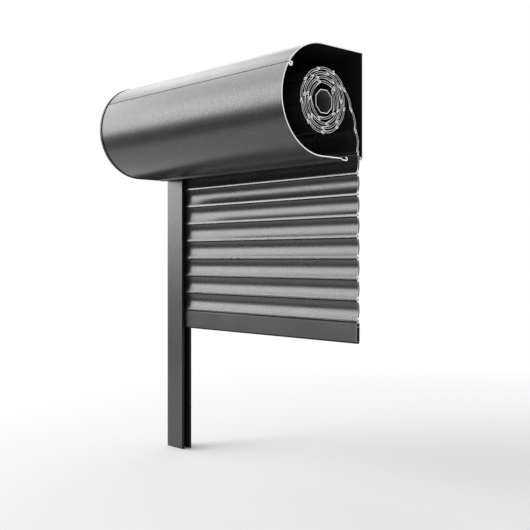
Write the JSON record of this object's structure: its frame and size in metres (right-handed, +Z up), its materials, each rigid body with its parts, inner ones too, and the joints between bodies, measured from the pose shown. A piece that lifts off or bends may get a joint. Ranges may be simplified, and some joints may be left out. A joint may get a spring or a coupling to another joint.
{
  "type": "exterior roller shutter",
  "caption": "Exterior roller shutter: half-round headbox cut open at one end, slatted curtain wound on an octagonal shaft and hanging in a side guide rail.",
  "frame": {"origin": "on the wall plane, at mid-length of the headbox and at the height of the shaft's axis", "axes": "+X along the shaft towards the open end, +Y into the wall, +Z up"},
  "size_m": [0.546, 0.1993, 0.7763],
  "materials": {
    "powder_coat": "satin powder coat on aluminium, dark grey",
    "cast_cap": "satin powder coat on cast aluminium",
    "slat_coat": "satin stove enamel on roll-formed aluminium",
    "zinc_steel": "zinc-plated steel",
    "motor_paint": "grey paint",
    "black_plastic": "moulded, matt",
    "black_rubber": "extruded rubber"
  },
  "bodies": {
    "headbox": {"top_rear_panel": "powder_coat", "end_cap": "cast_cap", "panel_screws": "zinc_steel", "cable_inlet": "black_rubber", "motor_bracket": "zinc_steel", "bracket_screws": "zinc_steel", "motor_head": "black_plastic", "motor_tube": "motor_paint", "guide_rail": "powder_coat", "rail_seal_front": "black_rubber", "rail_seal_rear": "black_rubber", "inlet_guide": "black_plastic", "rail_plugs": "powder_coat"},
    "cover": {"front_cover": "powder_coat"},
    "roll": {"motor_output": "zinc_steel", "drive_wheel": "black_plastic", "crown_ring": "black_plastic", "roller_shaft": "zinc_steel", "shaft_hangers": "zinc_steel", "hanger_rivets": "zinc_steel", "wound_slats_1": "slat_coat", "wound_slats_2": "slat_coat", "wound_slats_3": "slat_coat", "wound_slats_4": "slat_coat"},
    "running_slat_1": {"feed_slat_1": "slat_coat"},
    "running_slat_2": {"feed_slat_2": "slat_coat"},
    "running_slat_3": {"feed_slat_3": "slat_coat"},
    "curtain": {"top_slat": "slat_coat", "slat_1": "slat_coat", "slat_2": "slat_coat", "slat_3": "slat_coat", "slat_4": "slat_coat", "slat_5": "slat_coat", "slat_6": "slat_coat", "slat_7": "slat_coat", "bottom_bar": "powder_coat", "bar_seal": "black_rubber", "bar_glide": "black_plastic", "slat_end_locks": "black_plastic"}
  },
  "joints": [
    {"name": "cover_swing", "type": "hinge", "parent": "headbox", "child": "cover", "pos_m": [0, -0.17778, 0.05327], "axis": [-1, 0, 0], "range_deg": [0, 20]},
    {"name": "shaft_turn", "type": "hinge", "parent": "headbox", "child": "roll", "pos_m": [0, -0.0995, 0], "axis": [1, 0, 0], "range_deg": [-18, 18]},
    {"name": "slat_hinge_1", "type": "hinge", "parent": "roll", "child": "running_slat_1", "pos_m": [0, -0.04963, 0.02635], "axis": [1, 0, 0], "range_deg": [-12.7, 12.7]},
    {"name": "slat_hinge_2", "type": "hinge", "parent": "running_slat_1", "child": "running_slat_2", "pos_m": [0, -0.03175, -0.00604], "axis": [1, 0, 0], "range_deg": [-1.1, 1.1]},
    {"name": "slat_hinge_3", "type": "hinge", "parent": "running_slat_2", "child": "running_slat_3", "pos_m": [0, -0.0202, -0.04119], "axis": [1, 0, 0], "range_deg": [-4.6, 4.6]},
    {"name": "curtain_slide", "type": "slide", "parent": "headbox", "child": "curtain", "axis": [0, 0, 1], "range_m": [-0.0189, 0.0189]}
  ],
  "couplings": [
    {"joint": "slat_hinge_1", "follows": "shaft_turn", "ratio": -0.7},
    {"joint": "slat_hinge_2", "follows": "shaft_turn", "ratio": 0.06},
    {"joint": "slat_hinge_3", "follows": "shaft_turn", "ratio": -0.251},
    {"joint": "curtain_slide", "follows": "shaft_turn", "m_per_rad": 0.060044}
  ]
}
